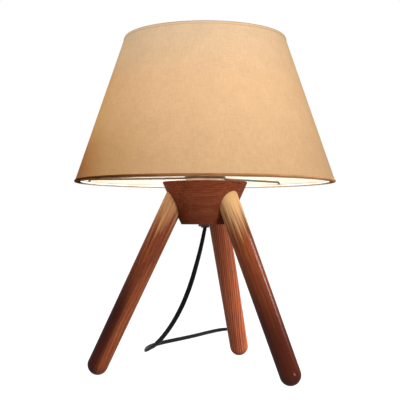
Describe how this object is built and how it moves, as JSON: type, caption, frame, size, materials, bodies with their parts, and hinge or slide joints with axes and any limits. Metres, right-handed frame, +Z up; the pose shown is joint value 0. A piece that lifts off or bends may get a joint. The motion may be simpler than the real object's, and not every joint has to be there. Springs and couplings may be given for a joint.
{
  "type": "tripod table lamp",
  "caption": "Table lamp with a conical linen shade on a turned wooden hub, standing on round splayed wooden legs, with a flat black cord, in-line switch and plug.",
  "frame": {"origin": "on the lamp's upright axis, on the surface that the feet stand on", "axes": "+Z up along the axis of shade and hub; +X to the right and +Y away as the lamp is seen from its front"},
  "size_m": [0.33, 0.8085, 0.4225],
  "materials": {
    "linen": "fine plain-weave linen, lit from inside",
    "shade_lining": "thin translucent lining sheet",
    "hem_tape": "dark brown woven tape",
    "coated_wire": "cream coated steel wire",
    "dark_metal": "dark bronze paint",
    "white_plastic": "ivory thermoset",
    "brass": "plain brass",
    "nickel": "nickelled shell",
    "black_glass": "black vitreous insulator",
    "opal_glass": "opal white",
    "clear_glass": "clear",
    "filament": "yellow phosphor coat",
    "hub_wood": "reddish brown stained wood, satin lacquer",
    "leg_wood": "orange brown stained beech, satin lacquer",
    "zinc_steel": "zinc plated",
    "black_plastic": "fine sparked black",
    "cord_sheath": "black flexible sheath",
    "core_brown": "brown core insulation",
    "core_blue": "blue core insulation",
    "tie_strap": "black strap"
  },
  "bodies": {
    "stand": {"cord_grip": "black_plastic", "cord_hank": "cord_sheath", "cord_inside": "cord_sheath", "cord_lead": "cord_sheath", "cord_link": "cord_sheath", "cord_tail": "cord_sheath", "core_live": "core_brown", "core_neutral": "core_blue", "hank_tie": "tie_strap", "hub": "hub_wood", "lampholder_cap": "white_plastic", "lampholder_contact": "brass", "lampholder_insert": "white_plastic", "lampholder_screw_shell": "brass", "lampholder_skirt": "white_plastic", "leg_back": "leg_wood", "leg_left": "leg_wood", "leg_right": "leg_wood", "leg_screws": "zinc_steel", "lock_nut": "dark_metal", "plug_blades": "brass", "plug_body": "black_plastic", "plug_taper": "cord_sheath", "switch_bottom_case": "black_plastic", "switch_contact": "brass", "switch_screws": "zinc_steel", "switch_top_case": "black_plastic", "terminal_screws": "brass", "threaded_tube": "zinc_steel"},
    "shade": {"shade_bottom_hem": "hem_tape", "shade_bottom_ring": "coated_wire", "shade_fabric": "linen", "shade_liner": "shade_lining", "shade_top_hem": "hem_tape", "shade_top_ring": "coated_wire", "spider_spoke_1": "coated_wire", "spider_spoke_2": "coated_wire", "spider_spoke_3": "coated_wire", "fitter_ring": "dark_metal"},
    "retaining_ring": {"retaining_ring": "white_plastic"},
    "bulb": {"bulb_cap": "nickel", "bulb_contact": "brass", "bulb_filaments": "filament", "bulb_glass": "opal_glass", "bulb_insulator": "black_glass", "bulb_stem": "clear_glass"},
    "rocker": {"switch_rocker": "black_plastic"}
  },
  "joints": [
    {"name": "shade_turn", "type": "hinge", "parent": "stand", "child": "shade", "pos_m": [0, 0, 0.2453], "axis": [0, 0, 1], "continuous": true},
    {"name": "ring_unscrew", "type": "slide", "parent": "stand", "child": "retaining_ring", "axis": [0, 0, 1], "range_m": [0, 0.024]},
    {"name": "bulb_lift_out", "type": "slide", "parent": "stand", "child": "bulb", "axis": [0, 0, 1], "range_m": [0, 0.08]},
    {"name": "rocker_tilt", "type": "hinge", "parent": "stand", "child": "rocker", "pos_m": [0.05575, 0.459, 0.0126], "axis": [0.9999, -0.012, 0], "range_deg": [0, 16]}
  ]
}
